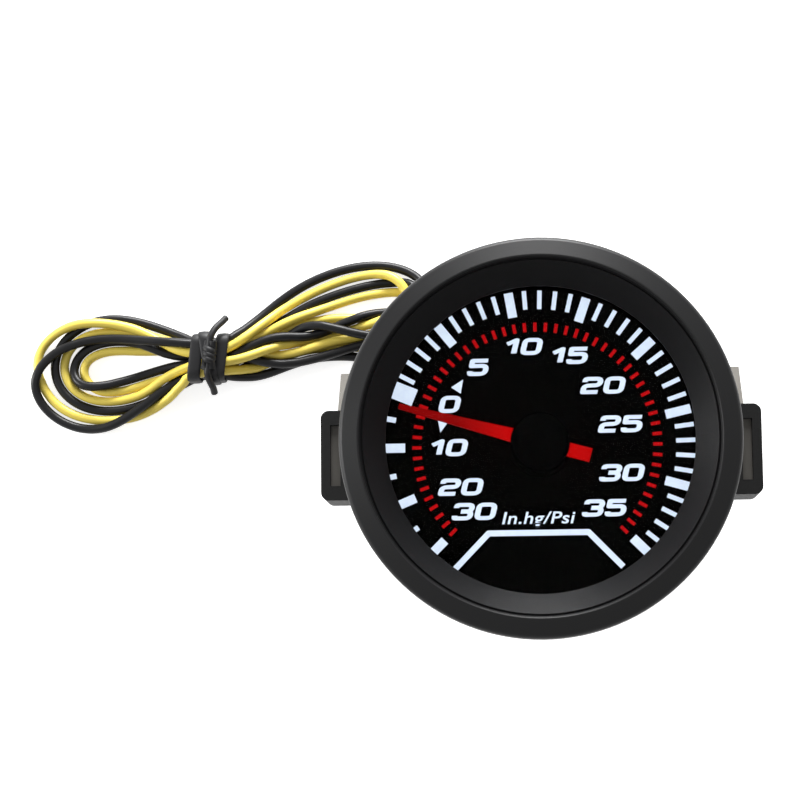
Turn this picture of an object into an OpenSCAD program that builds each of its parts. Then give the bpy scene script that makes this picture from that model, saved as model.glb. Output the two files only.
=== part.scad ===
// Panel-mounted boost gauge of the 52 mm size, a Bourdon movement behind a smoked, lit dial.
// The origin is the middle of the bezel's seat on the panel, +Z is towards the reader, +Y is 12 o'clock.

/* [Bezel] */
// How far the bezel stands out beyond the can
bezel_w = 4; // [3.6:0.1:6]
// Height of the bezel's ridge above its seat
bezel_h = 4.9; // [4.4:0.1:6]
// Diameter of the window that the bezel leaves open
window_d = 46.4; // [44:0.2:47.4]
// Distance of the ridge, where the cone begins, from the bezel's edge
ridge_inset = 2.9; // [2.5:0.1:3.3]

/* [Can] */
// Outer diameter of the can, the size of the hole in the panel
can_d = 52; // [51.5:0.1:52.5]
// Sheet thickness of the can
can_wall = 0.8; // [0.6:0.05:1]
// Gap between the Bourdon tube and the back of the can
back_gap = 1.7; // [1.2:0.1:10]

/* [Lens and dial] */
// Thickness of the smoked lens
lens_t = 2; // [1.5:0.1:2.5]
// Depth of the dial's face behind the seat
dial_depth = 8.3; // [8:0.1:10]
// Thickness of the dial plate
dial_t = 0.8; // [0.5:0.1:1.2]
// Thickness of the light guide behind the dial
guide_t = 1.8; // [1.5:0.1:2.4]
// Thickness of the lamp board
board_t = 1.2; // [1:0.1:1.6]
// Number of lamps on the board
lamp_count = 8; // [4:1:12]

/* [Pointer] */
// Length of the pointer from its axis to its tip
pointer_len = 22.2; // [18:0.1:22.6]
// Width of the pointer where it leaves the cap
pointer_root_w = 2.05; // [1.6:0.05:2.6]
// Width of the pointer at its tip
pointer_tip_w = 0.75; // [0.5:0.05:1.2]
// Length of the pointer's tail from its axis
tail_len = 7.9; // [6.5:0.1:9]
// Diameter of the top of the pointer's cap
cap_d = 9; // [8.4:0.1:10]

/* [Movement] */
// Module of the gear teeth
gear_module = 0.35; // [0.34:0.005:0.355]
// Teeth on the pinion
pinion_teeth = 10; // [10:1:10]
// Teeth that a whole sector wheel would have
sector_teeth = 80; // [80:1:80]
// Thickness of the movement's plates
plate_t = 1; // [0.8:0.1:1.2]
// Distance between the movement's plates
plate_gap = 6; // [6:0.1:6.6]

/* [Bourdon tube] */
// Distance of the tube's middle line from the can's wall
tube_margin = 5.7; // [5.2:0.1:5.9]
// Flat height of the tube
tube_h = 6; // [5:0.1:6.4]
// Thickness of the flattened tube
tube_t = 1.8; // [1.4:0.1:2]

/* [Pressure connection] */
// Distance of the nipple below the dial's axis
nipple_drop = 13; // [12.4:0.1:13.6]
// Outer diameter of the hose stub
hose_d = 5; // [4:0.1:6]
// Bore through the nipple
bore_d = 2.8; // [2:0.1:3.2]
// Size of the nipple's hexagon across its flats
hex_af = 10; // [9:0.5:11]
// Reach of the nipple behind the can
nipple_len = 25; // [20:0.5:26]

/* [Mounting] */
// Diameter of the studs
stud_d = 4; // [3:0.1:5]
// Distance between the studs
stud_spacing = 32; // [30:0.5:34]
// Height of the studs above the dial's axis
stud_rise = 5.6; // [5:0.1:6.4]
// Reach of the studs behind the can
stud_len = 27; // [25:0.5:29]
// Thickness of the bracket's sheet
bracket_t = 1.5; // [1:0.1:2]
// Gap between the can and a pad
pad_gap = 1.7; // [1.2:0.1:4]
// Width of the bracket's legs at their tips
leg_w = 9.6; // [8:0.1:11]
// Distance from the panel seat back to the pads' faces
pad_setback = 19; // [16:0.5:20]
// Distance of the crossbar's front face behind the can
crossbar_gap = 14.5; // [13:0.5:15]
// Height of a pad
pad_h = 14.3; // [13:0.1:16]
// Outer diameter of the knurled nuts
nut_d = 12; // [10:0.2:13]

/* [Wires] */
// Diameter of each wire
wire_d = 1.6; // [1.2:0.1:1.8]
// Half length of the tied hank
hank_half_len = 33.5; // [30:0.5:36]

/* [Hidden] */
$fn = 96;

over = 1;
fit = 0.05;
seat_gap = 0.1;

can_r = can_d / 2;
bezel_r = can_r + bezel_w;
can_in_r = can_r - can_wall;
window_r = window_d / 2;
ridge_r = bezel_r - ridge_inset;
stack_r = can_in_r - seat_gap;
tube_r = can_in_r - tube_margin;

// Bezel section: a rounded outer edge, a ridge with a groove inside it, and a cone down to the lens
edge_round = 0.5;
shoulder_round = 1.1;
shoulder_drop = 1.9;
shoulder_z = bezel_h - shoulder_drop;
ridge_half_w = 0.28;
ridge_lean = 62;
groove_w = 0.5;
groove_depth = 0.35;
cone_start_drop = 0.15;
lip_drop = 0.4;
lip_land = 0.25;
flange_z = 0.8;
flange_w = 2.2;
pocket_gap = 0.05;
arc_steps = 8;

// Stack behind the window, each face on the next
gasket_t = 0.5;
gasket_w = 1.4;
lens_z = -lip_drop - gasket_t;
dial_z = -dial_depth;
guide_z = dial_z - dial_t;
board_z = guide_z - guide_t;
front_z = board_z - board_t;
rear_z = front_z - plate_t - plate_gap;
block_z = rear_z - plate_t;
tube_drop = 1.4;
tube_z = block_z - tube_drop - tube_h;
can_back_in_z = tube_z - back_gap;
can_depth = can_wall - can_back_in_z;
back_round = 1.6;
spacer_wall = 0.4;
dial_hole_r = 1.6;
board_in_r = 12;
lamp_ring_r = 21;
lamp_l = 2;
lamp_w = 1.25;
lamp_h = 0.7;
lamp_gap = 0.2;

// Scale: angles from 3 o'clock, anticlockwise
zero_angle = 157.5;
scale_start = 225;
scale_end = -45;
psi_max = 35;
psi_major = 5;
hg_max = 30;
hg_major = 10;
psi_step = (zero_angle - scale_end) / psi_max;
hg_step = (scale_start - zero_angle) / hg_max;
mark_margin = 0.6;
mark_out_r = stack_r - spacer_wall - mark_margin;
major_in_r = 20.2;
minor_in_r = 21.2;
square_in_r = 22;
square_w = 0.82;
major_w = 1.4;
minor_w = 0.68;
zero_w = 2.7;
red_out_r = 19.1;
red_in_r = 17.7;
red_w = 0.5;
red_step = 5;
print_t = 0.06;
print_dx = -0.5;
print_dy = -0.2;
frame_half_w = 7.6;
frame_y = -13.3;
frame_leg = 7.4;
frame_line_w = 0.9;
frame_slope = 46;

// Pointer and its cap
pointer_angle = 164.6;
pointer_t = 1.2;
pointer_z = -5.9;
pointer_hub_r = 3.2;
cap_base_w = 0.55;
cap_base_r = cap_d / 2 + cap_base_w;
cap_base_t = 1;
cap_gap = 0.8;
cap_crown = 0.5;
cap_top_z = -3.9;
cap_edge_drop = 0.25;
shaft_r = 0.7;
press_gap = 0.02;

// Movement: the sector's arbor lies below left of the pointer's shaft, its tail faces away from it
pinion_r = gear_module * pinion_teeth / 2;
sector_r = gear_module * sector_teeth / 2;
centre_dist = pinion_r + sector_r;
arbor_angle = -131.8;
arbor_x = centre_dist * cos(arbor_angle);
arbor_y = centre_dist * sin(arbor_angle);
addendum = 0.75 * gear_module;
dedendum = 1.15 * gear_module;
tooth_slack = 0.1;
pressure_angle = 20;
flank_steps = 4;
first_tooth = -8;
last_tooth = 4;
gear_t = 0.8;
gear_drop = 3;
gear_z = front_z - plate_t - gear_drop;
pinion_face = 1.8;
arbor_r = 0.5;
arbor_hub_r = 1.6;
sector_arm_w = 2;
rim_w = 1.6;
tail_r = 5;
eye_r = 1.4;
link_pin_r = 0.6;
link_t = 0.8;
link_gap = 0.2;
link_end_gap = 0.3;
link_w = 1.6;
pivot_inset = 0.2;
pillar_r = 1.3;
plate_front_r = 17;
pillar_shares = [[0.324, 0.271], [0.435, -0.441], [-0.206, -0.853]];
plate_hub_r = 9;
plate_arm_r = 4.2;
plate_foot_half_w = 9;
plate_foot_y = -17.5;
lead_gate_r = 3.2;
screw_r = 1;
screw_head_r = 1.6;
screw_head_t = 0.8;
screw_bite = 4;
movement_screw_x = 6.5;
movement_screw_y = -12;
collet_r = 1.2;
spring_t = 0.15;
spring_h = 0.6;
spring_turns = 4;
spring_out_r = 4.8;
spring_steps = 24;
spring_post_r = 0.45;
spring_drop = 1.2;
spring_z = front_z - plate_t - spring_drop;
spring_post_len = 1.4;

// Bourdon tube and the block that holds it
tube_wall = 0.3;
tube_start = -59;
tube_end = 190;
tip_sweep = 7;
tip_margin = 0.4;
tip_angle = tube_end + tip_sweep / 2;
tip_x = tube_r * cos(tip_angle);
tip_y = tube_r * sin(tip_angle);
tip_pin_r = 0.7;
block_half_w = 10;
block_low_y = -20.6;
block_high_y = -9;

// Nipple
spigot_r = 3.5;
spigot_len = 6;
hex_len = 5;
collar_len = 1;
barb_len = 3;
barb_rise = 0.5;
stub_tip = 0.5;
block_screw_x = 8;
block_screw_bite = 5;
block_screw_head_t = 1.3;
block_screw_head_r = 1.7;
block_screw_r = 1.2;

// Studs, bracket, pads and nuts
stud_head_r = 3;
stud_head_t = 1.1;
stud_tip = 0.4;
stud_x = stud_spacing / 2;
crossbar_z = -can_depth - crossbar_gap - bracket_t;
bracket_low = -leg_w / 2;
bracket_high = 16;
bend_r = 3;
pad_in = 3.95;
leg_x = can_r + pad_gap + pad_in;
leg_tip_inset = 0.6;
leg_tip_z = -pad_setback - leg_tip_inset;
leg_full_len = 6;
leg_narrow_len = 9.6;
leg_taper_rear_z = crossbar_z + leg_full_len;
leg_taper_front_z = leg_tip_z - leg_narrow_len;
notch_half_w = 7;
notch_y = 11;
stud_clearance = 0.3;
stud_hole_r = stud_d / 2 + stud_clearance;
pad_l = 10;
pad_wall = 1.55;
pad_round = 1.3;
washer_r = 4.6;
washer_t = 0.8;
nut_h = 6;
nut_boss_r = 4;
nut_boss_h = 1.6;
flute_count = 14;
flute_r = 0.7;
nut_chamfer = 0.4;

// Grommet
wire_x = 1.1;
grommet_r = 2.4;
grommet_flange_r = 3;
grommet_flange_t = 0.9;
grommet_gap = 0.6;
grommet_y = tube_r - tube_t / 2 - grommet_flange_r - grommet_gap;

// Wires: both leave through the grommet and run along the level that the gauge lies on
wire_r = wire_d / 2;
stud_clear_of_table = 0.5;
table_z = -can_depth - stud_len - stud_clear_of_table;
lay_z = table_z + wire_r;
lead_sides = 8;
hank_sides = 6;
tip_len = 5;
tip_r = 0.5;
board_end_z = front_z;
black_route = [[-1.1, 15, -20], [-1.1, 15, -30], [-1.1, 15, -42], [-1.3, 15.2, -48], [-3, 16, -54],
    [-8, 17, -56.6], [-14, 17.4, -56.6], [-19, 19.6, -56.5], [-21.8, 24, -56.1]];
yellow_route = [[1.1, 15, -20], [1.1, 15, -30], [1.1, 15, -42], [1, 14.8, -48], [-1.4, 13.6, -54],
    [-7, 13.2, -56.6], [-15, 13.4, -56.6], [-21, 16, -56.5], [-24.2, 22, -56.1]];
black_tail_route = [[-26.4, 22.8, -49.8], [-21.4, 24.8, -50], [-16, 26.2, -52.6], [-11, 27, -55.6], [-6.5, 27.6, -56.6]];
yellow_tail_route = [[-26.8, 25, -49.8], [-21.8, 27.4, -50], [-16, 29.4, -52.6], [-11, 30.6, -55.6],
    [-6.5, 31.4, -56.6]];
black_end = [-2.5, 28, -56.6];
yellow_end = [-2.5, 32, -56.6];

// Hank: each wire winds three loops, in four layers that spiral in and out again
hank_centre = [-56, 22.4];
hank_angle = 11;
hank_bow = 3.5;
hank_half_w = 8.5;
waist_draw = 2.9;
waist_reach = 10;
hank_loops = 3;
loop_rings = 24;
quarter_rings = 3;
run_rings = 6;
strand_gap = 0.6;
layer_gap = 0.5;
strand_pitch = wire_d + strand_gap;
layer_pitch = wire_d + layer_gap;
hank_floor = 0.6;
tie_t = 0.5;
tie_w = 3.5;
tie_gap = 0.3;
knot_r = 0.9;
knot_len = 4;
tie_tail_len = 4.5;
tie_spread = 20;

// Points of an arc about a centre, from angle a0 to a1
function arc_points(cx, cy, r, a0, a1, n) = [for (i = [0:n]) let (a = a0 + (a1 - a0) * i / n)
    [cx + r * cos(a), cy + r * sin(a)]];

module tube(r_out, r_in, z0, z1) {
    translate([0, 0, z0]) difference() {
        cylinder(r = r_out, h = z1 - z0);
        translate([0, 0, -over]) cylinder(r = r_in, h = z1 - z0 + 2 * over);
    }
}

module disc(r, z0, z1) {
    translate([0, 0, z0]) cylinder(r = r, h = z1 - z0);
}

module rounded_plate(w, h, r) {
    square([w - 2 * r, h], center = true);
    square([w, h - 2 * r], center = true);
    for (x = [-1, 1], y = [-1, 1]) translate([x * (w / 2 - r), y * (h / 2 - r)]) circle(r = r, $fn = 32);
}

module bezel() {
    shoulder_x = bezel_r - shoulder_round;
    cone_top_r = ridge_r - ridge_half_w - groove_w;
    profile = concat(
        [[can_r + fit, 0]],
        arc_points(bezel_r - edge_round, edge_round, edge_round, -90, 0, arc_steps),
        arc_points(shoulder_x, shoulder_z, shoulder_round, 0, ridge_lean, arc_steps),
        arc_points(ridge_r, bezel_h - ridge_half_w, ridge_half_w, ridge_lean, 180, arc_steps),
        [[ridge_r - ridge_half_w - groove_w / 2, bezel_h - ridge_half_w - groove_depth]],
        [[cone_top_r, bezel_h - cone_start_drop - ridge_half_w]],
        [[window_r, lip_land - lip_drop], [window_r, -lip_drop], [can_in_r - seat_gap, -lip_drop]],
        [[can_in_r - seat_gap, flange_z + can_wall + pocket_gap]],
        [[can_r + flange_w + seat_gap, flange_z + can_wall + pocket_gap]],
        [[can_r + flange_w + seat_gap, flange_z - pocket_gap]],
        [[can_r + fit, flange_z - pocket_gap]]);
    color("#1c1c1e") rotate_extrude($fn = 180) polygon(profile);
}

module lens_gasket() {
    color("#161616") tube(stack_r, stack_r - gasket_w, lens_z, -lip_drop);
}

module lens() {
    color([0.1, 0.1, 0.12, 0.35]) disc(stack_r, lens_z - lens_t, lens_z);
}

module spacer_ring() {
    color("#0c0c0c") tube(stack_r, stack_r - spacer_wall, dial_z, lens_z - lens_t);
}

module dial_plate() {
    color("#060607") tube(stack_r, dial_hole_r, guide_z, dial_z);
}

// One radial mark of the scale
module mark(angle, r_in, r_out, w) {
    rotate(angle) translate([r_in, -w / 2]) square([r_out - r_in, w]);
}

module frame_line() {
    translate([-frame_half_w, frame_y - frame_line_w / 2]) square([2 * frame_half_w, frame_line_w]);
    for (side = [-1, 1]) translate([side * frame_half_w, frame_y]) {
        circle(d = frame_line_w, $fn = 24);
        rotate(side > 0 ? -frame_slope : frame_slope - 180) translate([0, -frame_line_w / 2])
            square([frame_leg, frame_line_w]);
    }
}

module scale_white() {
    color("#e6eaf5") translate([print_dx, print_dy, dial_z]) linear_extrude(print_t) {
        for (p = [psi_major:psi_major:psi_max]) mark(zero_angle - p * psi_step, major_in_r, mark_out_r, major_w);
        for (p = [1:psi_max - 1]) if (p % psi_major != 0)
            mark(zero_angle - p * psi_step, minor_in_r, mark_out_r, minor_w);
        for (v = [hg_major:hg_major:hg_max]) mark(zero_angle + v * hg_step, major_in_r, mark_out_r, major_w);
        for (v = [hg_major / 2:hg_major:hg_max]) mark(zero_angle + v * hg_step, square_in_r, mark_out_r, square_w);
        mark(zero_angle, major_in_r, mark_out_r, zero_w);
        frame_line();
    }
}

module scale_red() {
    color("#dc0a18") translate([print_dx, print_dy, dial_z]) linear_extrude(print_t)
        for (a = [scale_end:red_step:scale_start]) mark(a, red_in_r, red_out_r, red_w);
}

module at_lamps() {
    for (i = [0:lamp_count - 1]) rotate((i + 0.5) * 360 / lamp_count) translate([lamp_ring_r, 0, 0]) children();
}

module light_guide() {
    color([0.85, 0.9, 0.95, 0.5]) difference() {
        tube(stack_r, dial_hole_r, board_z, guide_z);
        at_lamps() translate([-lamp_w / 2 - lamp_gap, -lamp_l / 2 - lamp_gap, board_z - over])
            cube([lamp_w + 2 * lamp_gap, lamp_l + 2 * lamp_gap, over + lamp_h + lamp_gap]);
    }
}

module lamp_board() {
    color("#2e5a3a") tube(stack_r, board_in_r, front_z, board_z);
}

module lamps() {
    color("#f5f2e6") at_lamps() translate([-lamp_w / 2, -lamp_l / 2, board_z]) cube([lamp_w, lamp_l, lamp_h]);
}

module at_studs() {
    for (side = [-1, 1]) translate([side * stud_x, stud_rise, 0]) children();
}

module can() {
    outer = concat([[0, -can_depth]],
        arc_points(can_r - back_round, back_round - can_depth, back_round, -90, 0, arc_steps),
        [[can_r, flange_z], [can_r + flange_w, flange_z], [can_r + flange_w, flange_z + can_wall]],
        [[can_in_r, flange_z + can_wall]],
        arc_points(can_r - back_round, back_round - can_depth, back_round - can_wall, 0, -90, arc_steps),
        [[0, can_back_in_z]]);
    color("#26272a") difference() {
        rotate_extrude($fn = 180) polygon(outer);
        translate([0, -nipple_drop, -can_depth - over]) cylinder(r = spigot_r + fit, h = can_wall + 2 * over);
        at_studs() translate([0, 0, -can_depth - over]) cylinder(d = stud_d + 2 * fit, h = can_wall + 2 * over);
        translate([0, grommet_y, -can_depth - over]) cylinder(r = grommet_r + fit, h = can_wall + 2 * over);
        for (side = [-1, 1]) translate([side * block_screw_x, -nipple_drop, -can_depth - over])
            cylinder(r = block_screw_r + fit, h = can_wall + 2 * over, $fn = 48);
    }
}

module arbor_place() {
    translate([arbor_x, arbor_y, 0]) children();
}

module plate_front() {
    color("#c9a04a") difference() {
        union() {
            disc(plate_front_r, front_z - plate_t, front_z);
            translate([spring_out_r + spring_post_r, 0, front_z - plate_t - spring_post_len])
                cylinder(r = spring_post_r, h = spring_post_len + plate_t / 2, $fn = 32);
        }
        translate([0, 0, front_z - plate_t - over]) {
            cylinder(r = shaft_r + fit, h = plate_t + 2 * over);
            arbor_place() cylinder(r = arbor_r + fit, h = plate_t + 2 * over);
            translate([0, grommet_y]) cylinder(r = lead_gate_r, h = plate_t + 2 * over);
        }
    }
}

module plate_rear() {
    color("#c9a04a") difference() {
        translate([0, 0, block_z]) linear_extrude(plate_t) {
            circle(r = plate_hub_r);
            arbor_place() circle(r = plate_arm_r);
            translate([-plate_foot_half_w, plate_foot_y]) square([2 * plate_foot_half_w, -plate_foot_y]);
        }
        translate([0, 0, block_z - over]) {
            cylinder(r = shaft_r + fit, h = plate_t + 2 * over);
            arbor_place() cylinder(r = arbor_r + fit, h = plate_t + 2 * over);
            for (side = [-1, 1]) translate([side * movement_screw_x, movement_screw_y])
                cylinder(r = screw_r + fit, h = plate_t + 2 * over, $fn = 48);
        }
    }
}

module pillars() {
    color("#b8923e") for (p = pillar_shares) translate([p[0] * plate_front_r, p[1] * plate_front_r, rear_z])
        cylinder(r = pillar_r, h = plate_gap, $fn = 48);
}

module movement_screws() {
    color("#b9bcc2") for (side = [-1, 1]) translate([side * movement_screw_x, movement_screw_y, 0]) {
        disc(screw_head_r, rear_z, rear_z + screw_head_t);
        disc(screw_r, rear_z - screw_bite, rear_z);
    }
}

module tube_section(grow) {
    translate([tube_r, tube_z + tube_h / 2]) square([tube_t + 2 * grow, tube_h + 2 * grow], center = true);
}

module socket_block() {
    color("#bb9440") difference() {
        translate([-block_half_w, block_low_y, can_back_in_z])
            cube([2 * block_half_w, block_high_y - block_low_y, block_z - can_back_in_z]);
        translate([0, -nipple_drop, can_back_in_z - over]) cylinder(r = spigot_r + fit, h = spigot_len + over);
        for (side = [-1, 1]) {
            translate([side * movement_screw_x, movement_screw_y, rear_z - screw_bite])
                cylinder(r = screw_r + fit, h = screw_bite, $fn = 48);
            translate([side * block_screw_x, -nipple_drop, can_back_in_z - over])
                cylinder(r = block_screw_r + fit, h = block_screw_bite + over, $fn = 48);
        }
        rotate(tube_start - tip_sweep) rotate_extrude(angle = 4 * tip_sweep) tube_section(fit);
    }
}

module bourdon_tube() {
    color("#c28c4e") rotate(tube_start - tip_sweep) rotate_extrude(angle = tube_end - tube_start + tip_sweep)
        difference() {
            tube_section(0);
            translate([tube_r, tube_z + tube_h / 2])
                square([tube_t - 2 * tube_wall, tube_h - 2 * tube_wall], center = true);
        }
}

module tube_tip() {
    color("#bb9440") {
        rotate(tube_end) rotate_extrude(angle = tip_sweep) tube_section(tip_margin);
        translate([tip_x, tip_y, tube_z + tube_h])
            cylinder(r = tip_pin_r, h = link_z() - link_end_gap - tube_z - tube_h, $fn = 48);
    }
}

// Rear face of the link, just behind the sector
function link_z() = gear_z - link_gap - link_t;
function tail_place() = [arbor_x + tail_r * cos(arbor_angle), arbor_y + tail_r * sin(arbor_angle)];

module bar(p, q, w) {
    d = q - p;
    translate(p) rotate(atan2(d[1], d[0])) translate([0, -w / 2]) square([norm(d), w]);
}

module tip_link() {
    t = tail_place();
    e = [tip_x, tip_y];
    color("#d0d2d6") {
        translate([0, 0, link_z()]) linear_extrude(link_t) {
            bar(t, e, link_w);
            translate(t) circle(r = eye_r, $fn = 48);
            translate(e) circle(r = eye_r, $fn = 48);
        }
        translate([t[0], t[1], link_z()]) cylinder(r = link_pin_r, h = link_t + link_gap + gear_t + link_gap, $fn = 48);
    }
}

// Half angle of an involute tooth at radius r, for a pitch radius and a count of teeth
function inv(a) = tan(a) * 180 / PI - a;
function half_tooth(r, pitch_r, teeth) = let (
    base_r = pitch_r * cos(pressure_angle),
    at = r > base_r ? acos(base_r / r) : 0,
    half_pitch = 90 / teeth - tooth_slack / 4 / pitch_r * 180 / PI)
    half_pitch + inv(pressure_angle) - inv(at);
function tooth_radius(i, pitch_r) = pitch_r - dedendum + (addendum + dedendum) * i / flank_steps;
function tooth_points(pitch_r, teeth, at) = concat(
    [for (i = [0:flank_steps]) let (r = tooth_radius(i, pitch_r), a = at - half_tooth(r, pitch_r, teeth))
        [r * cos(a), r * sin(a)]],
    [for (i = [flank_steps:-1:0]) let (r = tooth_radius(i, pitch_r), a = at + half_tooth(r, pitch_r, teeth))
        [r * cos(a), r * sin(a)]]);

module sector_gear() {
    step = 360 / sector_teeth;
    toward = arbor_angle + 180;
    root_r = sector_r - dedendum;
    rim_in_r = root_r - rim_w;
    arc_start = toward + (first_tooth - 0.5) * step;
    arc_end = toward + (last_tooth + 0.5) * step;
    tooth_rim = [for (k = [first_tooth:last_tooth]) for (p = tooth_points(sector_r, sector_teeth, toward + k * step)) p];
    inner_rim = [for (i = [arc_steps * 2:-1:0]) let (a = arc_start + (arc_end - arc_start) * i / arc_steps / 2)
        [rim_in_r * cos(a), rim_in_r * sin(a)]];
    color("#d6b25c") arbor_place() difference() {
        union() {
            translate([0, 0, gear_z]) linear_extrude(gear_t) {
                polygon(concat(tooth_rim, inner_rim));
                for (a = [arc_start + step, arc_end - step])
                    bar([0, 0], (root_r - rim_w / 2) * [cos(a), sin(a)], sector_arm_w);
                bar([0, 0], tail_r * [cos(arbor_angle), sin(arbor_angle)], sector_arm_w);
                rotate(arbor_angle) translate([tail_r, 0]) circle(r = eye_r, $fn = 48);
            }
            disc(arbor_hub_r, gear_z - gear_t, gear_z + 2 * gear_t);
            disc(arbor_r, block_z + pivot_inset, front_z - pivot_inset);
        }
        rotate(arbor_angle) translate([tail_r, 0, gear_z - over]) cylinder(r = link_pin_r + fit, h = gear_t + 2 * over, $fn = 48);
    }
}

module pinion() {
    step = 360 / pinion_teeth;
    outline = [for (k = [0:pinion_teeth - 1])
        for (p = tooth_points(pinion_r, pinion_teeth, arbor_angle + (k + 0.5) * step)) p];
    color("#d6b25c") {
        translate([0, 0, gear_z + gear_t / 2 - pinion_face / 2]) linear_extrude(pinion_face) polygon(outline);
        disc(shaft_r, block_z + pivot_inset, cap_top_z - cap_crown);
        disc(collet_r, spring_z - seat_gap, spring_z + spring_h + seat_gap);
    }
}

module hairspring() {
    in_r = collet_r + seat_gap / 2;
    count = spring_turns * spring_steps;
    outer_edge = [for (i = [0:count]) let (r = in_r + spring_t + (spring_out_r - in_r - spring_t) * i / count,
        a = 360 * i / spring_steps) [r * cos(a), r * sin(a)]];
    inner_edge = [for (i = [count:-1:0]) let (r = in_r + (spring_out_r - in_r - spring_t) * i / count,
        a = 360 * i / spring_steps) [r * cos(a), r * sin(a)]];
    color("#8fa0b8") translate([0, 0, spring_z]) linear_extrude(spring_h) polygon(concat(outer_edge, inner_edge));
}

module pointer_blade(grow) {
    rotate(pointer_angle) polygon([[-tail_len, -pointer_root_w / 2 - grow], [cap_d / 2, -pointer_root_w / 2 - grow],
        [pointer_len, -pointer_tip_w / 2 - grow], [pointer_len, pointer_tip_w / 2 + grow],
        [cap_d / 2, pointer_root_w / 2 + grow], [-tail_len, pointer_root_w / 2 + grow]]);
}

module pointer() {
    color("#d2060e") translate([0, 0, pointer_z]) difference() {
        linear_extrude(pointer_t) {
            pointer_blade(0);
            circle(r = pointer_hub_r);
        }
        translate([0, 0, -over]) cylinder(r = shaft_r + press_gap, h = pointer_t + 2 * over);
    }
}

module pointer_cap() {
    base_z = dial_z + cap_gap;
    color("#101011") difference() {
        union() {
            disc(cap_base_r, base_z, base_z + cap_base_t);
            disc(cap_d / 2, base_z, cap_top_z - cap_edge_drop);
            translate([0, 0, cap_top_z - cap_edge_drop])
                cylinder(r1 = cap_d / 2, r2 = cap_d / 2 - cap_edge_drop, h = cap_edge_drop);
        }
        translate([0, 0, base_z - over]) linear_extrude(pointer_z + pointer_t + fit - base_z + over) {
            pointer_blade(fit);
            circle(r = pointer_hub_r + fit);
        }
        translate([0, 0, base_z - over]) cylinder(r = shaft_r + press_gap, h = cap_top_z - cap_crown + fit - base_z + over);
    }
}

module block_screws() {
    color("#b9bcc2") for (side = [-1, 1]) translate([side * block_screw_x, -nipple_drop, 0]) {
        disc(block_screw_head_r, -can_depth - block_screw_head_t, -can_depth);
        disc(block_screw_r, -can_depth, can_back_in_z + block_screw_bite);
    }
}

module nipple() {
    stub_end = -can_depth - nipple_len;
    barb_z = stub_end + stub_tip;
    color("#c8a24c") translate([0, -nipple_drop, 0]) difference() {
        union() {
            disc(spigot_r, -can_depth, can_back_in_z + spigot_len);
            translate([0, 0, -can_depth - hex_len]) cylinder(d = hex_af / cos(30), h = hex_len, $fn = 6);
            disc(hose_d / 2 + collar_len, -can_depth - hex_len - collar_len, -can_depth - hex_len);
            disc(hose_d / 2, stub_end, -can_depth - hex_len);
            translate([0, 0, barb_z]) cylinder(r1 = hose_d / 2, r2 = hose_d / 2 + barb_rise, h = barb_len);
        }
        translate([0, 0, stub_end - over]) cylinder(d = bore_d, h = spigot_len + can_wall + nipple_len + 2 * over);
    }
}

module studs() {
    color("#c4c7cc") at_studs() {
        disc(stud_head_r, can_back_in_z, can_back_in_z + stud_head_t);
        disc(stud_d / 2, -can_depth - stud_len + stud_tip, can_back_in_z);
        translate([0, 0, -can_depth - stud_len]) cylinder(r1 = stud_d / 2 - stud_tip, r2 = stud_d / 2, h = stud_tip);
    }
}

module washers() {
    color("#c4c7cc") at_studs() tube(washer_r, stud_hole_r, crossbar_z - washer_t, crossbar_z);
}

module thumb_nut() {
    top_z = crossbar_z - washer_t;
    difference() {
        union() {
            disc(nut_boss_r, top_z - nut_boss_h, top_z);
            disc(nut_d / 2, top_z - nut_h + nut_chamfer, top_z - nut_boss_h);
            translate([0, 0, top_z - nut_h]) cylinder(r1 = nut_d / 2 - nut_chamfer, r2 = nut_d / 2, h = nut_chamfer);
        }
        translate([0, 0, top_z - nut_h - over]) cylinder(r = stud_d / 2 + fit, h = nut_h + 2 * over);
        for (i = [0:flute_count - 1]) rotate(i * 360 / flute_count)
            translate([nut_d / 2 + flute_r / 3, 0, top_z - nut_h - over])
                cylinder(r = flute_r, h = nut_h - nut_boss_h + over, $fn = 24);
    }
}

module nut_left() {
    color("#c8a24c") translate([-stud_x, stud_rise, 0]) thumb_nut();
}

module nut_right() {
    color("#c8a24c") translate([stud_x, stud_rise, 0]) thumb_nut();
}

// Outline of a leg seen from the side: its length along X, its width along Y
module leg_outline() {
    polygon([[crossbar_z + bend_r, bracket_low], [leg_tip_z, bracket_low], [leg_tip_z, leg_w / 2],
        [leg_taper_front_z, leg_w / 2], [leg_taper_rear_z, bracket_high], [crossbar_z + bend_r, bracket_high]]);
}

module bracket() {
    width = bracket_high - bracket_low;
    bar_half = leg_x + bracket_t - bend_r;
    color("#c9c9c6") {
        difference() {
            translate([-bar_half, bracket_low, crossbar_z]) cube([2 * bar_half, width, bracket_t]);
            at_studs() translate([0, 0, crossbar_z - over]) cylinder(r = stud_hole_r, h = bracket_t + 2 * over);
            translate([-notch_half_w, notch_y, crossbar_z - over])
                cube([2 * notch_half_w, bracket_high - notch_y + over, bracket_t + 2 * over]);
        }
        for (side = [-1, 1]) {
            translate([side > 0 ? leg_x + bracket_t : -leg_x, 0, 0]) rotate([0, -90, 0])
                linear_extrude(bracket_t) leg_outline();
            translate([side * bar_half, bracket_high, crossbar_z + bend_r]) rotate([90, 0, 0])
                rotate(side > 0 ? -90 : 180) rotate_extrude(angle = 90)
                    translate([bend_r - bracket_t, 0]) square([bracket_t, width]);
        }
    }
}

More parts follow.
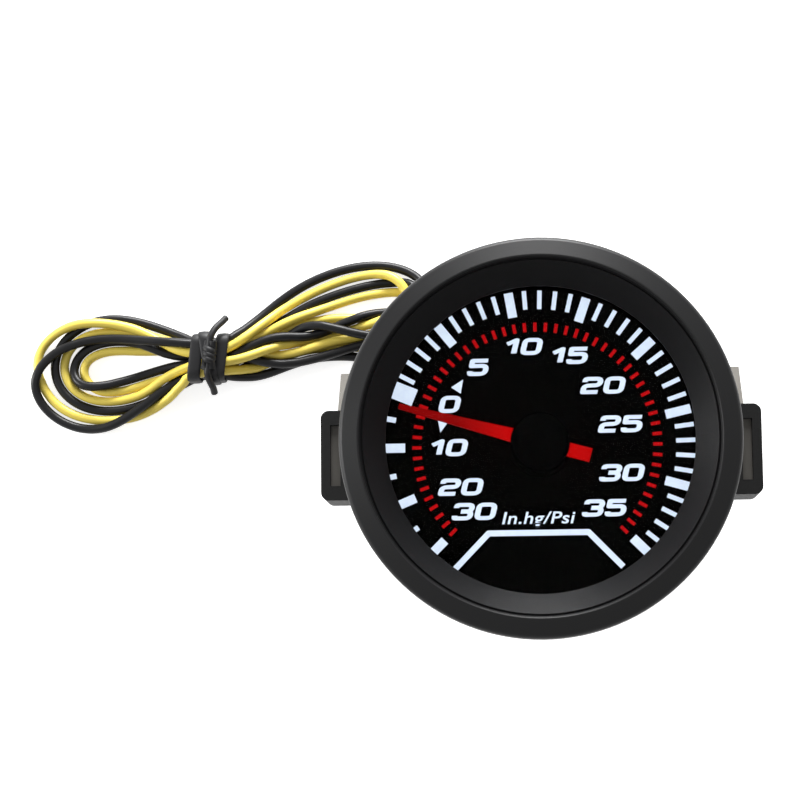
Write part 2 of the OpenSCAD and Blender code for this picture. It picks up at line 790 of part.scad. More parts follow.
module pad(side) {
    pad_w = pad_in + bracket_t + pad_wall;
    pad_x = leg_x + bracket_t + pad_wall - pad_w / 2;
    translate([side * pad_x, 0, -pad_setback - pad_l]) difference() {
        linear_extrude(pad_l) rounded_plate(pad_w, pad_h, pad_round);
        translate([side * (leg_x + bracket_t / 2 - pad_x), 0, pad_l / 2])
            cube([bracket_t + 2 * fit, leg_w + 2 * fit, pad_l + 2 * over], center = true);
    }
}

module pad_left() {
    color("#232323") pad(-1);
}

module pad_right() {
    color("#232323") pad(1);
}

module grommet() {
    color("#1a1a1a") translate([0, grommet_y, 0]) difference() {
        union() {
            disc(grommet_r, -can_depth, can_back_in_z);
            disc(grommet_flange_r, -can_depth - grommet_flange_t, -can_depth);
            disc(grommet_flange_r, can_back_in_z, can_back_in_z + grommet_flange_t);
        }
        for (side = [-1, 1]) translate([side * wire_x, 0, -can_depth - grommet_flange_t - over])
            cylinder(r = wire_r + fit, h = can_wall + 2 * grommet_flange_t + 2 * over, $fn = 48);
    }
}

// A smooth curve through the points of a route, its ends straight
function blend(a, b, c, d, t) = 0.5 * ((2 * b) + (c - a) * t + (2 * a - 5 * b + 4 * c - d) * t * t
    + (3 * b - a - 3 * c + d) * t * t * t);
function smooth(p, steps) = let (n = len(p) - 1) concat([p[0]], [for (i = [1:n - 2]) for (k = [0:steps - 1])
    blend(p[i - 1], p[i], p[i + 1], p[min(n, i + 2)], k / steps)], [p[n - 1], p[n]]);
function unit(v) = v / norm(v);
function last(p) = p[len(p) - 1];
function direction(p, i) = unit(p[min(len(p) - 1, i + 1)] - p[max(0, i - 1)]);
function carried(u, d) = unit(u - (u * d) * d);
function frames(p, i, u) = i >= len(p) ? [] : let (v = carried(u, direction(p, i))) concat([v], frames(p, i + 1, v));

// Tube of radius r along the points p, closed at both ends
module sweep(p, r, sides, first) {
    u = frames(p, 0, first);
    n = len(p);
    points = [for (i = [0:n - 1]) let (w = cross(direction(p, i), u[i])) for (k = [0:sides - 1])
        let (a = 360 * k / sides) p[i] + r * (cos(a) * u[i] + sin(a) * w)];
    walls = [for (i = [0:n - 2]) for (k = [0:sides - 1]) let (m = (k + 1) % sides)
        each [[i * sides + k, (i + 1) * sides + k, (i + 1) * sides + m], [i * sides + k, (i + 1) * sides + m, i * sides + m]]];
    caps = [[for (k = [0:sides - 1]) k], [for (k = [sides - 1:-1:0]) (n - 1) * sides + k]];
    polyhedron(points, concat(walls, caps), convexity = 10);
}

// One loop is a quarter bend, a run, a half bend, a run and a quarter bend. The runs are drawn in at the waist
function loop_point(f, inset) = let (
    q = quarter_rings, m = run_rings, r = hank_half_w - inset, half = hank_half_len - hank_half_w,
    run_at = f < q + m ? (f - q) / m : (f - 3 * q - m) / m,
    drawn = waist_draw * exp(-pow((1 - 2 * run_at) * half / waist_reach, 2)))
    f < q ? [half + r * cos(90 * f / q), r * sin(90 * f / q)] :
    f < q + m ? [half * (1 - 2 * run_at), r - drawn] :
    f < 3 * q + m ? let (a = 90 + 90 * (f - q - m) / q) [r * cos(a) - half, r * sin(a)] :
    f < 3 * q + 2 * m ? [half * (2 * run_at - 1), drawn - r] :
    let (a = 270 + 90 * (f - 3 * q - 2 * m) / q) [half + r * cos(a), r * sin(a)];
quarter_loops = hank_loops / 4;
function inward(s) = s < quarter_loops ? s : s < 2 * quarter_loops ? 2 * quarter_loops - s :
    s < 3 * quarter_loops ? s - 2 * quarter_loops : max(0, 4 * quarter_loops - s);
function climb(s, at) = min(1, max(0, (s - at + 0.25) / 0.5));
function level(s) = climb(s, quarter_loops) + climb(s, 2 * quarter_loops) + climb(s, 3 * quarter_loops);
function bowed(p) = p[1] + hank_bow * pow(p[0] / hank_half_len, 2);
function placed(p, z) = [hank_centre[0] + p[0] * cos(hank_angle) - bowed(p) * sin(hank_angle),
    hank_centre[1] + p[0] * sin(hank_angle) + bowed(p) * cos(hank_angle), z];
// The last loop stops before its last bend, where the tails leave under the gauge
function hank_path(wire, rings) = [for (i = [0:hank_loops * rings - rings / 8]) let (
    s = i / rings, f = (s - floor(s)) * loop_rings,
    z = lay_z + hank_floor + layer_pitch * level(s))
    placed(loop_point(f, strand_pitch * (2 * inward(s) + wire)), z)];
function least_gap(p, apart) = min([for (i = [0:len(p) - 1]) for (j = [i + apart:1:len(p) - 1]) norm(p[i] - p[j])]) - wire_d;

// The wire enters and leaves the hank straight, square to the end of its lead and of its tail
hank_out = placed([0, 1], 0) - placed([0, 0], 0);
function with_ends(p) = concat([p[0] - wire_d * hank_out], p, [last(p) + wire_d * unit(last(p) - p[len(p) - 2])]);
black_path = with_ends(hank_path(0, loop_rings));
yellow_path = with_ends(hank_path(1, loop_rings));
function lead_points(route, start, x) = smooth(concat([[x, grommet_y, board_end_z]], route,
    [start - wire_d * 1.5 * hank_out, start]), 2);
function tail_points(route, hank, end) = smooth(concat(
    [last(hank), last(hank) + wire_d * 1.5 * unit(last(hank) - hank[len(hank) - 2])], route,
    [end + wire_d * unit(last(route) - end), end]), 2);

module lead_black() {
    color("#17171a") sweep(lead_points(black_route, black_path[0], -wire_x), wire_r, lead_sides, [1, 0, 0]);
}

module lead_yellow() {
    color("#e8c21c") sweep(lead_points(yellow_route, yellow_path[0], wire_x), wire_r, lead_sides, [1, 0, 0]);
}

module hank_black() {
    echo(black_gap = least_gap(hank_path(0, 4 * loop_rings), 2 * loop_rings));
    color("#17171a") sweep(black_path, wire_r, hank_sides, [0, 0, 1]);
}

module hank_yellow() {
    echo(yellow_gap = least_gap(hank_path(1, 4 * loop_rings), 2 * loop_rings));
    color("#e8c21c") sweep(yellow_path, wire_r, hank_sides, [0, 0, 1]);
}

module tail_black() {
    color("#17171a") sweep(tail_points(black_tail_route, black_path, black_end), wire_r, lead_sides, [0, 0, 1]);
}

module tail_yellow() {
    color("#e8c21c") sweep(tail_points(yellow_tail_route, yellow_path, yellow_end), wire_r, lead_sides, [0, 0, 1]);
}

// Bare stranded tip beyond the end of a wire, in the wire's own direction
module bare_tip(end, from) {
    d = unit(end - from);
    translate(end) rotate([0, acos(d[2]), atan2(d[1], d[0])]) cylinder(r = tip_r, h = tip_len, $fn = 24);
}

module wire_tips() {
    color("#c98a55") {
        bare_tip(black_end, last(black_tail_route));
        bare_tip(yellow_end, last(yellow_tail_route));
    }
}

module twist_tie() {
    bundle_w = 2 * (hank_half_w - waist_draw + wire_r + tie_gap);
    bundle_h = 3 * layer_pitch + wire_d + 2 * tie_gap;
    low_z = lay_z + hank_floor - wire_r - tie_gap;
    color("#18181a") translate([hank_centre[0], hank_centre[1], 0]) rotate(hank_angle) {
        translate([-tie_w / 2, 0, low_z + bundle_h / 2]) rotate([90, 0, 90]) linear_extrude(tie_w) difference() {
            rounded_plate(bundle_w + 2 * tie_t, bundle_h + 2 * tie_t, wire_r + tie_t);
            rounded_plate(bundle_w, bundle_h, wire_r);
        }
        translate([0, 0, low_z + bundle_h + tie_t]) {
            translate([0, 0, knot_r / 2]) rotate([90, 0, 0]) cylinder(r = knot_r, h = knot_len, center = true, $fn = 32);
            for (side = [-1, 1]) rotate(side * tie_spread) translate([-tie_w / 4, side > 0 ? 0 : -knot_len / 2 - tie_tail_len, 0])
                cube([tie_w / 2, knot_len / 2 + tie_tail_len, tie_t]);
        }
    }
}

bezel();
lens_gasket();
lens();
spacer_ring();
dial_plate();
scale_white();
scale_red();
light_guide();
lamp_board();
lamps();
can();
plate_front();
plate_rear();
pillars();
movement_screws();
socket_block();
bourdon_tube();
tube_tip();
tip_link();
sector_gear();
pinion();
hairspring();
pointer();
pointer_cap();
block_screws();
nipple();
studs();
washers();
nut_left();
nut_right();
bracket();
pad_left();
pad_right();
grommet();
lead_black();
lead_yellow();
hank_black();
hank_yellow();
tail_black();
tail_yellow();
wire_tips();
twist_tie();
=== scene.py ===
# %% [markdown]
# # A small lit boost gauge
# The gauge lies on its back on a pale table, with its dial lit from behind and its wires tied in a hank.
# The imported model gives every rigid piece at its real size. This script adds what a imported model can't
# carry: the wires with their insulation, the lettering of the dial, and the finish of each surface.

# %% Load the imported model
import math

import bmesh
import bpy
import numpy
from mathutils import Matrix, Vector


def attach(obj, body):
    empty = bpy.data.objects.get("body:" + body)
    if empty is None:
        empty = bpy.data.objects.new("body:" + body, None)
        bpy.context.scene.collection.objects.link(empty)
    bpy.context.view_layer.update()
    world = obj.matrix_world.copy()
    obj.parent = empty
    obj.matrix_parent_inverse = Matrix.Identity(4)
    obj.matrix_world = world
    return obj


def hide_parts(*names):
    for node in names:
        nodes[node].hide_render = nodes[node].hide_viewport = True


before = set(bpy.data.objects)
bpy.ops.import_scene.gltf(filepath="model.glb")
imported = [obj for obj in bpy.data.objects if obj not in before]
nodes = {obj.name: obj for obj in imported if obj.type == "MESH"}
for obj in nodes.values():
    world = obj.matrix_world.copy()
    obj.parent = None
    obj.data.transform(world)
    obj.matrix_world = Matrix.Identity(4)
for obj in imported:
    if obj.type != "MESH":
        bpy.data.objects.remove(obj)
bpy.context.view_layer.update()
print("pieces in the packed model:", len(nodes))

# %% [markdown]
# ## Sizes
# Every size is in millimetres, as on a maker's drawing, and one factor turns it into Blender's metres.
# The names are those of the gauge's own pieces.

# %% Sizes of the gauge
MM = 0.001
TABLE_Z = -57.5
DIAL_Z = -8.3
WIRE_D = 1.6
WIRE_X = 1.1
GROMMET_Y = 15.0
GROMMET_FACE_Z = -30.9
BOARD_Z = -12.1
PRINT_X, PRINT_Y = -0.5, -0.2
PRINT_T = 0.06


def mm(*values):
    """A point or a size given in millimetres, in Blender's metres."""
    return Vector([v * MM for v in values])


def linked(name, data):
    """A new object of this data, in the scene and at the origin."""
    made = bpy.data.objects.new(name, data)
    bpy.context.scene.collection.objects.link(made)
    return made


def from_bmesh(name, bm):
    """The bmesh's shape as a piece at the origin."""
    mesh = bpy.data.meshes.new(name)
    bm.to_mesh(mesh)
    bm.free()
    return linked(name, mesh)


# %% [markdown]
# ## Camera
# The photograph looks almost straight down on the dial, from about 36 cm. The 55 red marks stand on a
# true circle, so their places in the picture give the camera's place and tilt.

# %% Camera
camera_data = bpy.data.cameras.new("camera")
camera = linked("camera", camera_data)
bpy.context.scene.camera = camera
camera_data.sensor_width = 36.0
camera_data.lens = 108.0
camera_data.clip_start = 0.02
camera_data.clip_end = 10.0
right = Vector((0.99816, -0.01038, -0.05978)).normalized()
forward = Vector((-0.05794, 0.12907, -0.98994))
forward = (forward - forward.dot(right) * right).normalized()
camera.rotation_mode = "QUATERNION"
axes = Matrix((right, right.cross(forward), -forward)).transposed()
camera.rotation_quaternion = axes.to_quaternion()
camera.location = mm(-0.02, -40.4, 357.36)
print("camera at", [round(v, 4) for v in camera.location])

# %% [markdown]
# ## The wires
# The hank is what a hand makes when it folds two thin wires and ties them: each strand goes its own way
# from bend to bend and crosses its neighbours. Points placed by eye would leave strands inside each
# other. So each wire gets only a rough route here, in millimetres with the height above the table's lay,
# and a small simulation then settles it.

# %% Rough routes of the strands
COLOURS = ("black", "yellow")
LAY_Z = TABLE_Z + WIRE_D / 2
SMOOTH_STEPS = 8
WAIST_X, WAIST_Y = -57.2, 21.15
WAIST_COLUMNS = (-2.6, -0.9, 0.9, 2.6)
WAIST_ROWS = (0.55, 2.2, 3.85)
WAIST_REACH, WAIST_SIDE = 0.7, 3
TIE_REACH, TIE_FLARE = 4.5, 0.06
SLOT = [[(column, row) for row in WAIST_ROWS] for column in WAIST_COLUMNS]
LEADS = {
    "black": [(-1.1, 15, -30.9), (-1.1, 15, -36), (-1.1, 15, -42), (-1.3, 15.2, -48), (-3, 16, -54),
              (-8, 17, -56.6), (-14, 17.4, -56.6), (-19, 19.2, -56.6), (-25, 21.2, -56.6)],
    "yellow": [(1.1, 15, -30.9), (1.1, 15, -36), (1.1, 15, -42), (1, 14.8, -48), (-1.4, 13.6, -54),
               (-7, 13.2, -56.6), (-13, 13.4, -56.6), (-18, 15.2, -56.6), (-21, 17.6, -55.7),
               (-23.8, 20.6, -54.9), (-26.8, 22.8, -55.6), (-29.6, 23.8, -56.5)],
}
STRANDS = {
    "black": [
        [(-31.5, 22.3, 0), (-39.5, 21.6, 0), (-46, 20.6, 0.2), (-52, 20, 0.6)],
        SLOT[0][1],
        [(-62.5, 17.5, 4), (-67, 14.5, 4), (-71.5, 12, 4.4), (-76, 10, 4.4), (-80.5, 9.5, 4.4),
         (-85, 11.5, 4.4), (-87.5, 14, 4.6), (-88.5, 17.5, 4.8), (-87.5, 21, 4.8), (-85, 23, 4.8),
         (-81, 24.5, 4.8), (-75.5, 25, 4.8), (-70.5, 24.5, 4.6), (-65, 23, 4.4), (-61.5, 22.5, 4)],
        SLOT[3][2],
        [(-51, 27, 4), (-45.5, 31.5, 3.8), (-39, 35, 3.6), (-32, 37, 3.6), (-28, 37.5, 3.6),
         (-24, 37, 3.6), (-21, 34, 3.4), (-20, 30, 3.4), (-21.4, 26.4, 3.4), (-25, 24.4, 3.4),
         (-30.5, 24.2, 3.2), (-36, 24.6, 2.6), (-41.5, 24.8, 2.2), (-48, 24, 1.8)],
        SLOT[0][0],
        [(-64, 16.5, 1.6), (-68.5, 14.5, 1.6), (-73, 14, 1.6), (-77.5, 13.5, 1.6), (-81.5, 14.5, 1.6),
         (-84, 17, 1.6), (-85, 20, 1.6), (-85, 23, 1.6), (-83.5, 25.5, 1.6), (-81.5, 27.5, 1.6),
         (-79, 29, 1.6), (-74.5, 29, 1.6), (-70, 28, 1.6), (-65.5, 26.5, 1.8), (-62, 25, 2)],
        SLOT[3][1],
        [(-48.5, 25, 3), (-43.5, 28, 3), (-37.5, 31, 3), (-32.5, 33, 3), (-27, 34.4, 3), (-22.5, 34.8, 2.8),
         (-19, 32.6, 2.4), (-18.8, 29.6, 2), (-22, 27.6, 1.8), (-28, 27.8, 1.8), (-34.5, 27, 1.8),
         (-41, 25.5, 1.8), (-46, 24, 1.8)],
        SLOT[1][1],
        [(-64, 20, 1.2), (-68.5, 17.4, 1.7), (-72.5, 15.9, 1.7), (-76.5, 15.3, 1.7), (-80, 16, 1.7),
         (-82.3, 18, 1.7), (-82.9, 20.4, 1.7), (-81.4, 22.8, 1.7), (-79, 24.4, 1.7), (-75, 24.9, 1.7),
         (-71, 24.6, 1.5), (-66, 23.8, 1.2), (-62, 22.8, 1)],
        SLOT[2][0],
        [(-50.5, 20.4, 1.9), (-44, 21, 1.8), (-37, 21.8, 1.7), (-31, 22.8, 1.6), (-24.5, 24.6, 0.8),
         (-17, 26.8, 0), (-11.5, 27.1, 0.05), (-6.5, 27.6, 0.1), (-2.5, 28, 0.1)],
    ],
    "yellow": [
        [(-32.5, 24.1, 0), (-41.5, 23.1, 0), (-48, 22, 0.4)],
        SLOT[0][2],
        [(-60, 17, 3), (-65.5, 14, 3), (-71.5, 12, 2.8), (-77, 11, 2.6), (-81, 11.5, 2.6),
         (-84.5, 13, 2.8), (-87, 15.5, 3), (-88.5, 18.5, 3), (-89.5, 21, 3.2), (-88.5, 23.5, 3.2),
         (-86, 25.5, 3.2), (-82.5, 27, 3.2), (-78, 27.5, 3.4), (-71.5, 27, 3.4), (-65.5, 25.5, 3.4),
         (-62, 24.5, 3.4)],
        SLOT[2][2],
        [(-50, 24.5, 3.4), (-45, 29, 3.2), (-39, 32.5, 3), (-33, 35, 3), (-28, 36, 3), (-24.5, 35.5, 3),
         (-21.3, 33.3, 2.6), (-20, 30, 2.2), (-21.6, 27.2, 1.9), (-25, 26, 1.9), (-30, 26, 1.8),
         (-37, 25.8, 1.5), (-42.5, 25.2, 1.2), (-47.5, 22.5, 1.6)],
        SLOT[1][2],
        [(-64, 17.5, 1), (-69.5, 14.5, 0.8), (-74, 13, 0.8), (-78, 13, 0.8), (-81, 14.5, 0.8),
         (-83.5, 16.5, 0.8), (-84, 20, 0.8), (-84, 23, 0.8), (-82.5, 25.5, 0.8), (-79.5, 26.5, 0.8),
         (-76, 26.5, 0.8), (-71, 26, 1), (-66, 25, 1), (-62, 24, 1.4)],
        SLOT[2][1],
        [(-51.5, 22, 2.2), (-47, 25, 2), (-42.5, 28, 2), (-38, 30, 1.8), (-32.5, 31.5, 1.6),
         (-27.5, 33.4, 1.4), (-22.5, 34.2, 1.2), (-18.4, 32.2, 0.8), (-18.4, 28.4, 0.4), (-22.5, 26.8, 0.2),
         (-28, 28.2, 0.2), (-32, 28.9, 0.2), (-37, 28.6, 0.2), (-42, 27, 0.4), (-48, 23.5, 0.4)],
        SLOT[1][0],
        [(-64, 18.5, 0), (-68.5, 16.4, 0), (-72.5, 14.9, 0), (-76, 14.4, 0), (-79, 15.4, 0), (-80.9, 17.6, 0),
         (-81.4, 20.2, 0), (-80, 22.9, 0), (-77, 24.3, 0), (-73, 24.4, 0), (-69, 24, 0), (-64, 22.6, 0)],
        SLOT[3][0],
        [(-51.5, 21.4, 2), (-46, 22.4, 1.8), (-39.5, 23.3, 1.7), (-32.5, 24.6, 1.7), (-26, 26.4, 0.8),
         (-19, 28.6, 0), (-12.5, 30.4, 0.05), (-6.5, 31.4, 0.1), (-2.5, 32, 0.1)],
    ],
}


def rough_route(colour):
    """All the points of one wire, from the grommet through the tie six times to its bare end."""
    points = [Vector(p) for p in LEADS[colour]]
    reach = WAIST_REACH
    for part in STRANDS[colour]:
        if isinstance(part, tuple):
            y, z = WAIST_Y + part[0], LAY_Z + part[1]
            points += [Vector((WAIST_X + reach, y, z)), Vector((WAIST_X - reach, y, z))]
            reach = -reach
        else:
            points += [Vector((x, y, LAY_Z + z)) for x, y, z in part]
    return points


def smooth(points, steps):
    """A smooth curve through the points, its first and last stretch straight."""
    p = [Vector(q) for q in points]
    n = len(p) - 1
    line = [p[0]]
    for i in range(1, n - 1):
        a, b, c, d = p[i - 1], p[i], p[i + 1], p[min(n, i + 2)]
        for k in range(steps):
            t = k / steps
            line.append(0.5 * (2 * b + (c - a) * t + (2 * a - 5 * b + 4 * c - d) * t * t
                               + (3 * b - a - 3 * c + d) * t ** 3))
    return line + [p[n - 1], p[n]]


def even(path, step):
    """The same line as an array of points an even step apart."""
    p = numpy.array([tuple(q) for q in path])
    gone = numpy.concatenate(([0.0], numpy.cumsum(numpy.linalg.norm(numpy.diff(p, axis=0), axis=1))))
    at = numpy.linspace(0.0, gone[-1], round(gone[-1] / step) + 1)
    return numpy.column_stack([numpy.interp(at, gone, p[:, k]) for k in range(3)])


# %% [markdown]
# Blender's own cloth and soft body know no round thickness of a line, so the settling is a few lines of
# numpy. Every round each wire straightens a little, sinks, is drawn back towards its rough route, and is
# pushed out of every strand nearer than its thickness. Only pairs of points that are near each other are
# looked at, and their list is renewed now and then. The tie, the lead's start and the bare ends hold.

# %% Settling the wires
STEP = 0.8
APART = WIRE_D + 0.1
ROUNDS, RENEW = 700, 20
STIFFNESS = {1: 0.03, 3: 0.05}
SINK, HOMING, YIELD, LONGEST_MOVE = 0.01, 0.005, 0.45, 0.3
PUSHES = 2
LEAD_X, LEAD_RISE = -10, 3
END_POINTS = 8
OWN_POINTS = 6
LOOK_ROUND = 1.4


def bending(p):
    """How far each point moves to make its wire less bent, over short stretches and over long ones."""
    move = numpy.zeros_like(p)
    for k, share in STIFFNESS.items():
        move[2 * k:-2 * k] -= share * (p[:-4 * k] - 4 * p[k:-3 * k] + 6 * p[2 * k:-2 * k]
                                       - 4 * p[3 * k:-k] + p[4 * k:])
    return move


def settled(lines):
    """The wires' points after settling, as one array for each wire."""
    p = numpy.concatenate(lines)
    home, cut = p.copy(), len(lines[0])
    order = numpy.arange(len(p))
    wire = order >= cut
    held = (p[:, 2] > LAY_Z + LEAD_RISE) & (p[:, 0] > LEAD_X)
    held |= (abs(p[:, 0] - WAIST_X) < WAIST_REACH) & (abs(p[:, 1] - WAIST_Y) < WAIST_SIDE)
    tie_low = numpy.array((WAIST_Y + WAIST_COLUMNS[0], LAY_Z + WAIST_ROWS[0]))
    tie_high = numpy.array((WAIST_Y + WAIST_COLUMNS[-1], LAY_Z + WAIST_ROWS[-1]))
    ends = numpy.concatenate((order[cut - END_POINTS:cut], order[-END_POINTS:]))
    held |= numpy.isin(order, ends)
    same = (wire[:, None] == wire) & (abs(order[:, None] - order) < OWN_POINTS)
    for k in range(ROUNDS):
        if k % RENEW == 0:
            gap = numpy.linalg.norm(p[:, None] - p, axis=2)
            one, two = numpy.nonzero((gap < APART + LOOK_ROUND) & ~same)
        move = numpy.concatenate((bending(p[:cut]), bending(p[cut:])))
        move[:, 2] -= SINK
        move[:, :2] += HOMING * (home - p)[:, :2]
        for _ in range(PUSHES):
            away = p[one] - p[two]
            gap = numpy.linalg.norm(away, axis=1)
            close = gap < APART
            push = YIELD * (APART - gap[close])[:, None] * away[close] / gap[close][:, None]
            numpy.add.at(move, one[close], push)
            size = numpy.linalg.norm(move, axis=1)
            move *= (numpy.minimum(size, LONGEST_MOVE) / numpy.maximum(size, 1e-9))[:, None]
            move[held] = 0
            p = p + move
            tied = abs(p[:, 0] - WAIST_X) < TIE_REACH
            ease = TIE_FLARE * ((p[tied, 0] - WAIST_X) ** 2)[:, None]
            p[tied, 1:] = numpy.clip(p[tied, 1:], tie_low - ease, tie_high + ease)
            p[:, 2] = numpy.maximum(p[:, 2], LAY_Z)
            move = numpy.zeros_like(p)
    gap = numpy.linalg.norm(p[:, None] - p, axis=2)
    print("nearest strands:", round(float(gap[~same].min()), 2), "mm between centre lines, wires are",
          WIRE_D, "mm thick")
    return p[:cut], p[cut:]


rough = [even(smooth(rough_route(colour), SMOOTH_STEPS), STEP) for colour in COLOURS]
paths = dict(zip(COLOURS, settled(rough)))


def path_length(path):
    """The length of a path, in its own unit."""
    return float(numpy.linalg.norm(numpy.diff(path, axis=0), axis=1).sum())


# %% [markdown]
# A curve with a round bevel keeps an even thickness along such a path, which a swept mesh of our own
# would have to work out ring by ring. It becomes a mesh at once, so that its real size can be measured.

# %% Tubes from paths
def tube_curve(name, path, radius, resolution=4):
    """A round tube along a path in millimetres, as a curve of one open spline with closed ends."""
    data = bpy.data.curves.new(name, "CURVE")
    data.dimensions = "3D"
    data.bevel_depth = radius * MM
    data.bevel_resolution = resolution
    data.use_fill_caps = True
    spline = data.splines.new("POLY")
    spline.points.add(len(path) - 1)
    for point, p in zip(spline.points, path):
        point.co = (p[0] * MM, p[1] * MM, p[2] * MM, 1.0)
    return linked(name, data)


def as_mesh(piece):
    """The evaluated shape of a curve or text piece, as a smooth mesh piece at the origin."""
    depsgraph = bpy.context.evaluated_depsgraph_get()
    mesh = bpy.data.meshes.new_from_object(piece.evaluated_get(depsgraph))
    mesh.transform(piece.matrix_world)
    mesh.shade_smooth()
    name = piece.name
    bpy.data.objects.remove(piece)
    return linked(name, mesh)


# %% [markdown]
# Each wire is one unbroken tube from the grommet to its bare end, and stands for the three solids that
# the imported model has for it. It lies still, so it rides on the case.

# %% The two wires
wires = {}
for colour in COLOURS:
    wires[colour] = as_mesh(tube_curve("wire_" + colour, paths[colour], WIRE_D / 2))
    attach(wires[colour], "case")
    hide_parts("lead_" + colour, "hank_" + colour, "tail_" + colour)
    print(colour, "wire:", round(path_length(paths[colour])), "mm")

# %% [markdown]
# Inside the can each wire goes on straight to the lamp board. The wire's tube outside starts at the grommet,
# where it leaves the object, so this short stretch is a piece of its own.

# %% The stretch of each wire inside the can
MIDWAY_Z = -20
for colour, side in zip(COLOURS, (-WIRE_X, WIRE_X)):
    inside = [(side, GROMMET_Y, z) for z in (BOARD_Z, MIDWAY_Z, GROMMET_FACE_Z)]
    inner = as_mesh(tube_curve("wire_" + colour + "_inside", inside, WIRE_D / 2))
    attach(inner, "case")
    wires[colour + "_inside"] = inner

# %% [markdown]
# ## The twist tie
# The hank is held by a flat black tie with a wire core: three turns round the waist, a twisted knot on
# top, and two short tails that stand off to the sides.

# %% Twist tie
WAIST_HALF = WAIST_COLUMNS[-1] + WIRE_D / 2
HANK_LOW = LAY_Z + WAIST_ROWS[0] - WIRE_D / 2
HANK_HIGH = LAY_Z + WAIST_ROWS[-1] + WIRE_D / 2
BAND_W, BAND_T = 2.3, 0.42
BAND_ROUND, ARC_STEPS = 1.9, 8
CROWN_FROM = 2
BAND_CROWN = ((-0.5, 0.0), (-0.3, 0.12), (0.0, 0.16), (0.3, 0.12), (0.5, 0.0))
BAND_LEAST_GAP, BAND_SINK = 0.1, 0.02
BAND_EDGE = 0.1
KNOT_LIFT, KNOT_TURNS, KNOT_REACH, KNOT_WIRE_R = 2.0, 1.6, 0.6, 0.68
KNOT_STEPS, TAIL_STEPS = 10, 6
TAIL_R = 0.6
THIN_TUBE = 3


def at_waist(x, y, z):
    """A point beside the middle of the waist, z as the height in the gauge's own frame."""
    return Vector((WAIST_X + x, WAIST_Y + y, z))


def tie_band(name, shift, lean, proud):
    """A closed band round the hank's waist, its cross-section flat, with rounded corners."""
    bm = bmesh.new()
    half_w = WAIST_HALF + BAND_LEAST_GAP + proud
    low, high = HANK_LOW - BAND_SINK, HANK_HIGH + BAND_LEAST_GAP + proud
    side, top, foot = half_w - BAND_ROUND, high - BAND_ROUND, low + BAND_ROUND
    ring = []
    for cx, cz, start in ((side, top, 0), (-side, top, 90), (-side, foot, 180), (side, foot, 270)):
        for k in range(ARC_STEPS + 1):
            a = math.radians(start + 90 / ARC_STEPS * k)
            ring.append((cx + BAND_ROUND * math.cos(a), cz + BAND_ROUND * math.sin(a)))
    rows = []
    for x, crown in BAND_CROWN:
        # The band is crowned everywhere but where it lies on the table
        row = [at_waist(shift + BAND_W * x + lean * (y / half_w), y * (1 + crown / half_w),
                        z + (crown if z > low + CROWN_FROM else 0)) for y, z in ring]
        rows.append([bm.verts.new(point * MM) for point in row])
    for row in rows:
        for a, b in zip(row, row[1:] + row[:1]):
            bm.edges.new((a, b))
    for one, two in zip(rows, rows[1:]):
        edges = [e for e in bm.edges if all(v in one for v in e.verts) or all(v in two for v in e.verts)]
        bmesh.ops.bridge_loops(bm, edges=edges)
    bmesh.ops.recalc_face_normals(bm, faces=bm.faces[:])
    bmesh.ops.solidify(bm, geom=bm.faces[:], thickness=BAND_T * MM)
    bmesh.ops.recalc_face_normals(bm, faces=bm.faces[:])
    piece = from_bmesh(name, bm)
    piece.data.shade_smooth()
    soft = piece.modifiers.new("round", "BEVEL")
    soft.width = BAND_EDGE * MM
    soft.segments = 2
    return piece


def twisted(name, points, start):
    """One of the two strands that twist round each other along the knot's line."""
    line = smooth(points, KNOT_STEPS)
    made = []
    for i, p in enumerate(line):
        a = 2 * math.pi * KNOT_TURNS * i / (len(line) - 1) + start
        made.append(p + Vector((math.cos(a) * KNOT_REACH, 0, math.sin(a) * KNOT_REACH)))
    return tube_curve(name, made, KNOT_WIRE_R, THIN_TUBE)


tie = [tie_band("tie_band_a", -2.2, 0.45, 0.6), tie_band("tie_band_b", 2.1, 0.5, 0.6),
       tie_band("tie_band_c", 0.0, -0.7, 0.95)]
knot_top = HANK_HIGH + KNOT_LIFT
knot_at = [at_waist(0.4 + 0.1 * y, y, knot_top) for y in (-2.4, -1.2, 0, 1.2, 2.4)]
for name, start in (("tie_knot_a", 0), ("tie_knot_b", math.pi)):
    tie.append(as_mesh(twisted(name, knot_at, start)))
TAILS = {"up": [(0.4, 1.6, 0), (0.6, 3.0, 0.2), (1.3, 4.6, -0.4), (2.4, 6.0, -1.6), (3.0, 6.8, -2.4)],
         "down": [(0.3, -1.6, 0), (0.1, -3.0, 0.2), (0.4, -4.4, -0.5), (0.9, -5.6, -1.7), (1.0, -6.3, -2.5)]}
for name, points in TAILS.items():
    line = smooth([at_waist(x, y, knot_top + z) for x, y, z in points], TAIL_STEPS)
    tie.append(as_mesh(tube_curve("tie_tail_" + name, line, TAIL_R, THIN_TUBE)))
for piece in tie:
    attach(piece, "case")
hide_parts("twist_tie")
print("tie pieces:", len(tie))

# %% [markdown]
# Both wires are cut bare at the far end. The tie and the bare copper tips are the separate pieces on them.

# %% [markdown]
# ## Lettering of the dial
# The numbers are printed on the lit dial in a wide, bold, slanted face of rounded strokes. A font would
# come near, but the strokes are simple: each digit is drawn as a line with round corners, turned into a
# tube, stretched so that its upright strokes are the thicker ones, slanted, and pressed flat.

# %% Digits as strokes
GLYPH_W, GLYPH_H = 3.2, 2.66
STROKE, UPRIGHT = 0.61, 1.4
SLANT = 0.25
CORNER, SHARP = 0.6, 0.03
